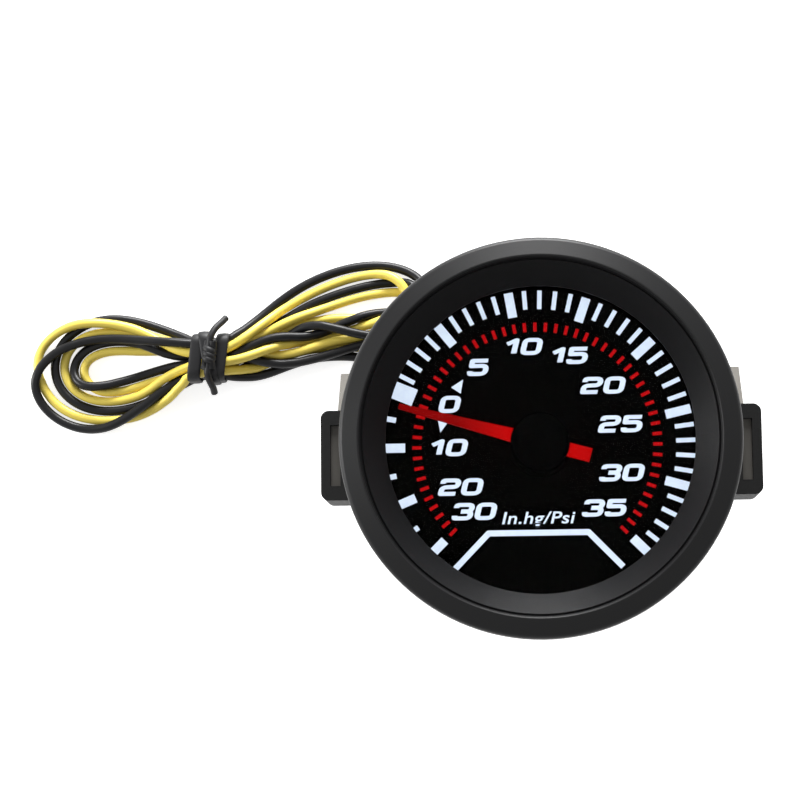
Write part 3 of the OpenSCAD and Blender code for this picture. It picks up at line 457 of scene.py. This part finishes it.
# Corners of each stroke as shares of the digit's width and height, the sharp ones with their own radius
STROKE_SHARES = {
    "0": [[(0, 0.5), (0, 1), (1, 1), (1, 0), (0, 0), (0, 0.5)]],
    "1": [[(0, 0.7), (0.94, 1, SHARP), (0.94, 0)]],
    "2": [[(0, 0.76), (0, 1), (1, 1), (1, 0.52), (0, 0.48), (0, 0, SHARP), (0.96, 0)]],
    "3": [[(0, 0.78), (0, 1), (1, 1), (1, 0.52), (0.34, 0.52)],
          [(0.34, 0.5), (1, 0.5), (1, 0), (0, 0), (0, 0.2)]],
    "5": [[(1.02, 1), (0.02, 1, SHARP), (0.02, 0.6, SHARP), (1, 0.62), (1, 0), (0, 0), (0, 0.22)]],
}
GLYPH_WIDTHS = {"1": 2.25}
GLYPH_GAP = 0.24
GAP_AFTER_ONE = 0.42


def rounded(points, radius, steps=5):
    """The line through the points, with each corner replaced by an arc."""
    p = [Vector((x, y, 0)) for x, y, *_ in points]
    line = [p[0]]
    for a, b, c, corner in zip(p, p[1:], p[2:], points[1:]):
        u, v = a - b, c - b
        cut = min(corner[2] if len(corner) > 2 else radius, u.length * 0.49, v.length * 0.49)
        start, end = b + u.normalized() * cut, b + v.normalized() * cut
        for k in range(steps + 1):
            t = k / steps
            line.append((1 - t) ** 2 * start + 2 * t * (1 - t) * b + t * t * end)
    return line + [p[-1]]


def digit(name, character, place):
    """The strokes of one digit, centred on its place, stretched, slanted and flat."""
    w = (GLYPH_WIDTHS.get(character, GLYPH_W) - STROKE * UPRIGHT) / UPRIGHT
    h = GLYPH_H - STROKE
    made = []
    for k, shares in enumerate(STROKE_SHARES[character]):
        line = rounded([((x - 0.5) * w, (y - 0.5) * h, *sharp) for x, y, *sharp in shares], CORNER)
        piece = as_mesh(tube_curve(name + "_" + str(k), line, STROKE / 2, THIN_TUBE))
        x0, y0 = place[0] + PRINT_X, place[1] + PRINT_Y
        shape = Matrix(((UPRIGHT, SLANT, 0, x0 * MM), (0, 1, 0, y0 * MM),
                        (0, 0, PRINT_T / STROKE, (DIAL_Z + PRINT_T / 2) * MM), (0, 0, 0, 1)))
        piece.data.transform(shape)
        made.append(piece)
    return made


def joined(name, parts):
    """All the parts in one mesh."""
    bm = bmesh.new()
    for part in parts:
        bm.from_mesh(part.data)
        bpy.data.objects.remove(part)
    bmesh.ops.remove_doubles(bm, verts=bm.verts[:], dist=1e-7)
    return from_bmesh(name, bm)


# %% [markdown]
# The numbers' middles were measured against the ring of red marks, in millimetres from its centre.

# %% Numbers of the scale
NUMBER_PLACES = {
    "psi_0": ("0", (-13.26, 6.64)), "psi_5": ("5", (-8.75, 12.3)), "psi_10": ("10", (-1.88, 15.39)),
    "psi_15": ("15", (5.17, 13.87)), "psi_20": ("20", (10.29, 9.17)), "psi_25": ("25", (12.89, 3.17)),
    "psi_30": ("30", (12.89, -4.31)), "psi_35": ("35", (10.17, -9.65)),
    "hg_10": ("10", (-13.6, -0.05)), "hg_20": ("20", (-11.7, -6.12)), "hg_30": ("30", (-9.68, -9.91)),
}
numbers = []
for name, (text, (x, y)) in NUMBER_PLACES.items():
    widths = [GLYPH_WIDTHS.get(character, GLYPH_W) for character in text]
    gaps = [GAP_AFTER_ONE if character == "1" else GLYPH_GAP for character in text[:-1]]
    left = x - (sum(widths) + sum(gaps)) / 2
    for k, character in enumerate(text):
        numbers += digit(name + "_" + str(k), character, (left + widths[k] / 2, y))
        left += widths[k] + (gaps[k] if k < len(gaps) else 0)
numerals = joined("numerals", numbers)
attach(numerals, "case")
print("numerals:", len(numerals.data.polygons), "faces")

# %% [markdown]
# The unit line is small ordinary lettering, so here a font does the work: Blender's own, thickened and
# slanted, and brought to the measured width and height. The two arrow heads beside the 0 are three-sided
# plates that follow the scale up and down.

# %% Unit line and arrow heads
UNIT_W, UNIT_CAP = 11.2, 1.82
UNIT_X, UNIT_Y = 0.06, -11.89
UNIT_SIZE, UNIT_LEAN, UNIT_BOLD, UNIT_SPACING = 2.5, 0.2, 0.03, 1.05
ARROW_R, ARROW_LONG, ARROW_WIDE = 1.0, 1.02, 1.35
text_data = bpy.data.curves.new("unit_line", "FONT")
text_data.body = "In.hg/Psi"
text_data.size = UNIT_SIZE * MM
text_data.shear = UNIT_LEAN
text_data.offset = UNIT_BOLD * MM
text_data.space_character = UNIT_SPACING
text_data.extrude = PRINT_T / 2 * MM
text = linked("unit_line", text_data)
bpy.context.view_layer.update()
unit_line = as_mesh(text)
corners = [v.co for v in unit_line.data.vertices]
low_x, high_x = min(c.x for c in corners), max(c.x for c in corners)
cap = max(c.y for c in corners)
fit = Matrix.Diagonal((UNIT_W * MM / (high_x - low_x), UNIT_CAP * MM / cap, 1, 1))
place = Matrix.Translation(mm(UNIT_X + PRINT_X, UNIT_Y + PRINT_Y, DIAL_Z + PRINT_T / 2))
unit_line.data.transform(place @ fit @ Matrix.Translation((-(low_x + high_x) / 2, 0, 0)))
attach(unit_line, "case")


def arrow_head(name, place, heading):
    """A flat three-sided head with its point towards the heading, in degrees."""
    bm = bmesh.new()
    turn = Matrix.Rotation(math.radians(heading - 90), 4, "Z")
    at = Matrix.Translation(mm(place[0] + PRINT_X, place[1] + PRINT_Y, DIAL_Z + PRINT_T / 2))
    stretch = Matrix.Diagonal((ARROW_LONG, ARROW_WIDE, 1, 1))
    bmesh.ops.create_cone(bm, cap_ends=True, segments=3, radius1=ARROW_R * MM, radius2=ARROW_R * MM,
                          depth=PRINT_T * MM, matrix=at @ turn @ stretch)
    piece = from_bmesh(name, bm)
    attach(piece, "case")
    return piece


arrows = [arrow_head("arrow_up", (-11.92, 9.33), 56),
          arrow_head("arrow_down", (-14.46, 3.61), -103)]

# %% [markdown]
# ## Finishes
# Each finish is a Principled BSDF fed by one small node group, made once. At a fine scale it is the grain
# that moves the surface and its roughness. At a coarse scale it is the slow patchiness that keeps a
# colour from being perfectly even.

# %% Shared node group
def group(name, inputs, outputs):
    """An empty node group with named sockets, its input node and its output node."""
    tree = bpy.data.node_groups.new(name, "ShaderNodeTree")
    for label, kind, value in inputs:
        socket = tree.interface.new_socket(name=label, in_out="INPUT", socket_type=kind)
        socket.default_value = value
    for label, kind in outputs:
        tree.interface.new_socket(name=label, in_out="OUTPUT", socket_type=kind)
    return tree, tree.nodes.new("NodeGroupInput"), tree.nodes.new("NodeGroupOutput")


def grain_group():
    """Fine noise in Object coordinates: Height for a Bump node, Value around 1 for colour or roughness."""
    tree, source, target = group(
        "grain", [("Scale", "NodeSocketFloat", 4000.0), ("Depth", "NodeSocketFloat", 0.3)],
        [("Height", "NodeSocketFloat"), ("Value", "NodeSocketFloat")])
    place = tree.nodes.new("ShaderNodeTexCoord")
    noise = tree.nodes.new("ShaderNodeTexNoise")
    noise.inputs["Detail"].default_value = 3.0
    tree.links.new(place.outputs["Object"], noise.inputs["Vector"])
    tree.links.new(source.outputs["Scale"], noise.inputs["Scale"])
    spread = tree.nodes.new("ShaderNodeMath")
    spread.operation = "MULTIPLY_ADD"
    spread.inputs[2].default_value = 1.0
    centred = tree.nodes.new("ShaderNodeMath")
    centred.operation = "SUBTRACT"
    centred.inputs[1].default_value = 0.5
    tree.links.new(noise.outputs["Fac"], centred.inputs[0])
    tree.links.new(centred.outputs[0], spread.inputs[0])
    tree.links.new(source.outputs["Depth"], spread.inputs[1])
    tree.links.new(noise.outputs["Fac"], target.inputs["Height"])
    tree.links.new(spread.outputs[0], target.inputs["Value"])
    return tree


GRAIN = grain_group()
GRAIN_RELIEF = 0.1


# %% [markdown]
# `finish` makes most materials: one colour, varied by a slow grain, a roughness varied by a fine grain,
# and a bump of that fine grain. What differs from piece to piece are only the numbers.

# %% The finish helper
def finish(name, colour, rough, metal=0.0, fine=3000.0, depth=0.25, bump=0.05, patch=150.0, patchy=0.15,
           specular=0.5):
    """A material of one colour with grain. fine and patch are the grains' scales, per metre."""
    material = bpy.data.materials.new(name)
    material.use_nodes = True
    tree = material.node_tree
    shader = tree.nodes["Principled BSDF"]
    shader.inputs["Metallic"].default_value = metal
    shader.inputs["Specular IOR Level"].default_value = specular
    small = tree.nodes.new("ShaderNodeGroup")
    small.node_tree = GRAIN
    small.inputs["Scale"].default_value = fine
    small.inputs["Depth"].default_value = depth
    large = tree.nodes.new("ShaderNodeGroup")
    large.node_tree = GRAIN
    large.inputs["Scale"].default_value = patch
    large.inputs["Depth"].default_value = patchy
    roughness = tree.nodes.new("ShaderNodeMath")
    roughness.operation = "MULTIPLY"
    roughness.inputs[1].default_value = rough
    tree.links.new(small.outputs["Value"], roughness.inputs[0])
    tree.links.new(roughness.outputs[0], shader.inputs["Roughness"])
    tint = tree.nodes.new("ShaderNodeMix")
    tint.data_type = "RGBA"
    tint.blend_type = "MULTIPLY"
    tint.inputs["Factor"].default_value = 1.0
    tint.inputs["A"].default_value = (*colour, 1.0)
    tree.links.new(large.outputs["Value"], tint.inputs["B"])
    tree.links.new(tint.outputs["Result"], shader.inputs["Base Color"])
    bumps = tree.nodes.new("ShaderNodeBump")
    bumps.inputs["Strength"].default_value = bump
    bumps.inputs["Distance"].default_value = GRAIN_RELIEF * MM
    tree.links.new(small.outputs["Height"], bumps.inputs["Height"])
    tree.links.new(bumps.outputs["Normal"], shader.inputs["Normal"])
    return material


def dress(piece, material):
    """Gives a piece one material, in its first slot."""
    if piece.data.materials:
        piece.data.materials[0] = material
    else:
        piece.data.materials.append(material)


def lit_print(name, colour, strength):
    """Print that glows from behind: its own colour, and the same colour as light."""
    material = finish(name, colour, 0.6, fine=2500.0, patch=900.0, patchy=0.25, bump=0.0, specular=0.05)
    shader = material.node_tree.nodes["Principled BSDF"]
    mix = next(n for n in material.node_tree.nodes if n.type == "MIX")
    material.node_tree.links.new(mix.outputs["Result"], shader.inputs["Emission Color"])
    shader.inputs["Emission Strength"].default_value = strength
    return material


# %% [markdown]
# The bezel and the can are coated steel, the bezel satin and finer. The nuts and the movement are brass, the
# bracket is zinc-plated steel, and the pads are rubber with a coarse grain. The bracket's colour is painted
# shade: it is far darker than the zinc of the studs and washers, so that the bracket stays dim beside the
# bezel and in the pads' slots.

# %% Materials of the gauge
looks = {
    "bezel": finish("satin_black_paint", (0.006, 0.006, 0.0065), 0.43, fine=5000.0, bump=0.06,
                    specular=0.22),
    "lens_gasket": finish("gasket_rubber", (0.012, 0.012, 0.012), 0.7, specular=0.2),
    "spacer_ring": finish("spacer_black", (0.006, 0.006, 0.006), 0.8, specular=0.1),
    "dial_plate": finish("dial_black", (0.0012, 0.0012, 0.0013), 0.8, fine=6000.0, bump=0.02, specular=0.0),
    "scale_white": lit_print("print_white", (0.34, 0.395, 0.46), 2.05),
    "scale_red": lit_print("print_red", (0.37, 0.002, 0.003), 1.0),
    "light_guide": finish("guide_acrylic", (0.7, 0.72, 0.75), 0.3, patchy=0.1),
    "lamp_board": finish("board_green", (0.02, 0.09, 0.04), 0.45, patchy=0.3),
    "lamps": lit_print("lamp_white", (0.9, 0.9, 0.85), 1.0),
    "can": finish("can_black_paint", (0.014, 0.014, 0.0145), 0.5, fine=2500.0, bump=0.12, specular=0.3),
    "plate_front": finish("plate_brass", (0.58, 0.42, 0.15), 0.35, metal=1.0, patchy=0.3),
    "plate_rear": finish("plate_brass_rear", (0.58, 0.42, 0.15), 0.35, metal=1.0, patchy=0.3),
    "pillars": finish("pillar_brass", (0.6, 0.44, 0.17), 0.3, metal=1.0),
    "movement_screws": finish("screw_steel", (0.5, 0.5, 0.52), 0.3, metal=1.0),
    "socket_block": finish("block_brass", (0.55, 0.4, 0.15), 0.38, metal=1.0, patchy=0.3),
    "bourdon_tube": finish("tube_bronze", (0.52, 0.28, 0.12), 0.3, metal=1.0, patchy=0.3),
    "tube_tip": finish("tip_brass", (0.55, 0.4, 0.15), 0.3, metal=1.0),
    "tip_link": finish("link_steel", (0.55, 0.55, 0.57), 0.28, metal=1.0),
    "sector_gear": finish("sector_brass", (0.62, 0.46, 0.18), 0.3, metal=1.0),
    "pinion": finish("pinion_brass", (0.62, 0.46, 0.18), 0.28, metal=1.0),
    "hairspring": finish("spring_blued", (0.1, 0.14, 0.25), 0.25, metal=1.0),
    "pointer": lit_print("pointer_red", (0.4, 0.0006, 0.0006), 0.8),
    "pointer_cap": finish("cap_black", (0.001, 0.001, 0.0012), 0.7, fine=5000.0, bump=0.04, specular=0.0),
    "block_screws": finish("block_screw_steel", (0.5, 0.5, 0.52), 0.32, metal=1.0),
    "nipple": finish("nipple_brass", (0.6, 0.44, 0.17), 0.32, metal=1.0, patchy=0.3, bump=0.1),
    "studs": finish("stud_zinc", (0.55, 0.56, 0.58), 0.35, metal=1.0, bump=0.15),
    "washers": finish("washer_zinc", (0.55, 0.56, 0.58), 0.38, metal=1.0),
    "nut_left": finish("nut_brass_left", (0.6, 0.44, 0.17), 0.33, metal=1.0, patchy=0.25, bump=0.1),
    "nut_right": finish("nut_brass_right", (0.6, 0.44, 0.17), 0.33, metal=1.0, patchy=0.25, bump=0.1),
    # Painted shade: the bracket's zinc is given a colour far darker than real zinc plating.
    "bracket": finish("bracket_zinc_painted_shade", (0.1, 0.095, 0.087), 0.55, metal=0.35, fine=1800.0, patchy=0.35,
                      bump=0.12, specular=0.15),
    "pad_left": finish("pad_rubber_left", (0.006, 0.006, 0.006), 0.6, fine=1400.0, depth=0.6, bump=0.3,
                       specular=0.22),
    "pad_right": finish("pad_rubber_right", (0.006, 0.006, 0.006), 0.6, fine=1400.0, depth=0.6, bump=0.3,
                        specular=0.22),
    "grommet": finish("grommet_rubber", (0.015, 0.015, 0.015), 0.6, fine=1500.0, bump=0.2),
    "wire_tips": finish("tip_copper", (0.6, 0.27, 0.12), 0.3, metal=1.0, fine=2500.0, bump=0.4),
}
for name, material in looks.items():
    dress(nodes[name], material)
# The bracket's edge-on reflection is tinted dark as well: painted shade that dims its glint of the lamps.
bracket_shaded_shader = looks["bracket"].node_tree.nodes["Principled BSDF"]
bracket_shaded_shader.inputs["Specular Tint"].default_value = (0.35, 0.33, 0.3, 1)
for piece in (numerals, unit_line, *arrows):
    dress(piece, looks["scale_white"])
print("materials of the gauge:", len(looks))

# %% [markdown]
# The pointer is a clear red bar that takes its light from the hub, so it is brightest at its root and
# darker towards its tip. Its distance from the axis, in Object coordinates, gives that fall.

# %% Light along the pointer
ROOT_R, TIP_R, TIP_SHARE = 5.0, 13.0, 0.5
tree = looks["pointer"].node_tree
place = tree.nodes.new("ShaderNodeTexCoord")
flat = tree.nodes.new("ShaderNodeVectorMath")
flat.operation = "MULTIPLY"
flat.inputs[1].default_value = (1, 1, 0)
away = tree.nodes.new("ShaderNodeVectorMath")
away.operation = "LENGTH"
fall = tree.nodes.new("ShaderNodeMapRange")
for label, value in (("From Min", ROOT_R * MM), ("From Max", TIP_R * MM), ("To Min", 1.0),
                     ("To Max", TIP_SHARE)):
    fall.inputs[label].default_value = value
dimmed = tree.nodes.new("ShaderNodeMix")
dimmed.data_type = "RGBA"
dimmed.blend_type = "MULTIPLY"
dimmed.inputs["Factor"].default_value = 1.0
tint = next(n for n in tree.nodes if n.type == "MIX" and n != dimmed)
shader = tree.nodes["Principled BSDF"]
tree.links.new(place.outputs["Object"], flat.inputs[0])
tree.links.new(flat.outputs["Vector"], away.inputs[0])
tree.links.new(away.outputs["Value"], fall.inputs["Value"])
tree.links.new(tint.outputs["Result"], dimmed.inputs["A"])
tree.links.new(fall.outputs["Result"], dimmed.inputs["B"])
tree.links.new(dimmed.outputs["Result"], shader.inputs["Base Color"])
tree.links.new(dimmed.outputs["Result"], shader.inputs["Emission Color"])

# %% [markdown]
# The window is smoked acrylic with a coating against reflections, so it darkens what is behind it and
# hardly mirrors the room.

# %% Smoked window
smoke = finish("smoked_window", (0.86, 0.86, 0.88), 0.02, fine=800.0, depth=0.1, bump=0.0, patchy=0.02)
shader = smoke.node_tree.nodes["Principled BSDF"]
shader.inputs["Transmission Weight"].default_value = 1.0
shader.inputs["IOR"].default_value = 1.06
shader.inputs["Specular IOR Level"].default_value = 0.15
dress(nodes["lens"], smoke)

# %% [markdown]
# The insulation is soft glossy vinyl. Its colour is a little uneven along the wire, and dust dulls the
# gloss in places.

# %% Wires and tie
insulation = {
    "black": finish("vinyl_black", (0.008, 0.008, 0.009), 0.36, fine=900.0, depth=0.4, bump=0.1, patch=90.0,
                    patchy=0.3, specular=0.22),
    "yellow": finish("vinyl_yellow", (0.9, 0.71, 0.115), 0.4, fine=900.0, depth=0.4, bump=0.1, patch=90.0,
                     patchy=0.2),
}
for name, wire in wires.items():
    dress(wire, insulation[name.split("_")[0]])
tie_vinyl = finish("tie_vinyl", (0.006, 0.006, 0.007), 0.5, fine=1600.0, bump=0.25, specular=0.3)
for piece in tie:
    dress(piece, tie_vinyl)

# %% [markdown]
# ## Table and light
# A pale table carries the gauge. The camera sees it a little brighter than the lamps make it, so that it
# reads as white and still keeps the shadow. One broad lamp stands above the gauge's top edge, as in the
# photograph, with a weak one from the left and an even world for the rest.

# %% Table
TABLE_HALF = 3000
TABLE_GLOW = 0.75
bm = bmesh.new()
bmesh.ops.create_grid(bm, x_segments=1, y_segments=1, size=TABLE_HALF * MM,
                      matrix=Matrix.Translation(mm(0, 0, TABLE_Z)))
floor = from_bmesh("table", bm)
table_look = bpy.data.materials.new("table_white")
table_look.use_nodes = True
tree = table_look.node_tree
shader = tree.nodes["Principled BSDF"]
shader.inputs["Base Color"].default_value = (0.86, 0.86, 0.86, 1.0)
shader.inputs["Roughness"].default_value = 0.8
shader.inputs["Specular IOR Level"].default_value = 0.0
shader.inputs["Emission Color"].default_value = (1.0, 1.0, 1.0, 1.0)


def seen_strength(tree, unseen, seen):
    """One strength for the rays that the eye, metal and glass look along, another for all the rest."""
    rays = tree.nodes.new("ShaderNodeLightPath")
    looked = rays.outputs["Is Camera Ray"]
    for ray in ("Is Glossy Ray", "Is Transmission Ray"):
        either = tree.nodes.new("ShaderNodeMath")
        either.operation = "MAXIMUM"
        tree.links.new(looked, either.inputs[0])
        tree.links.new(rays.outputs[ray], either.inputs[1])
        looked = either.outputs[0]
    scaled = tree.nodes.new("ShaderNodeMath")
    scaled.operation = "MULTIPLY_ADD"
    scaled.inputs[1].default_value = seen - unseen
    scaled.inputs[2].default_value = unseen
    tree.links.new(looked, scaled.inputs[0])
    return scaled.outputs[0]


tree.links.new(seen_strength(tree, 0.0, TABLE_GLOW), shader.inputs["Emission Strength"])
dress(floor, table_look)

# %% [markdown]
# Both lamps are soft boxes that stand low. A low lamp lights the sloping inner cone of the bezel on its
# far side, and leaves the bezel's face dark, as in the photograph. The world gives a weak even light,
# and is white where the eye, metal or glass sees it.

# %% Lamps and world
LAMP_AIM = (0, 0, -10)
WORLD_LIGHT, WORLD_SEEN = 0.4, 1.0


def lamp(name, place, size, watts):
    """A soft box in the scene, its place and size in millimetres, turned to the gauge."""
    data = bpy.data.lights.new(name, "AREA")
    data.shape = "RECTANGLE"
    data.size, data.size_y = size[0] * MM, size[1] * MM
    data.energy = watts
    made = linked(name, data)
    made.location = mm(*place)
    made.rotation_mode = "QUATERNION"
    made.rotation_quaternion = (mm(*LAMP_AIM) - mm(*place)).to_track_quat("-Z", "Y")


lamp("top_softbox", (0, 565, 105), (260, 200), 7.6)
lamp("left_softbox", (-560, 60, 120), (200, 240), 2.4)
world = bpy.data.worlds.new("studio")
bpy.context.scene.world = world
world.use_nodes = True
tree = world.node_tree
background = tree.nodes["Background"]
background.inputs["Color"].default_value = (1.0, 1.0, 1.0, 1.0)
tree.links.new(seen_strength(tree, WORLD_LIGHT, WORLD_SEEN), background.inputs["Strength"])
bpy.context.scene.view_settings.view_transform = "Standard"
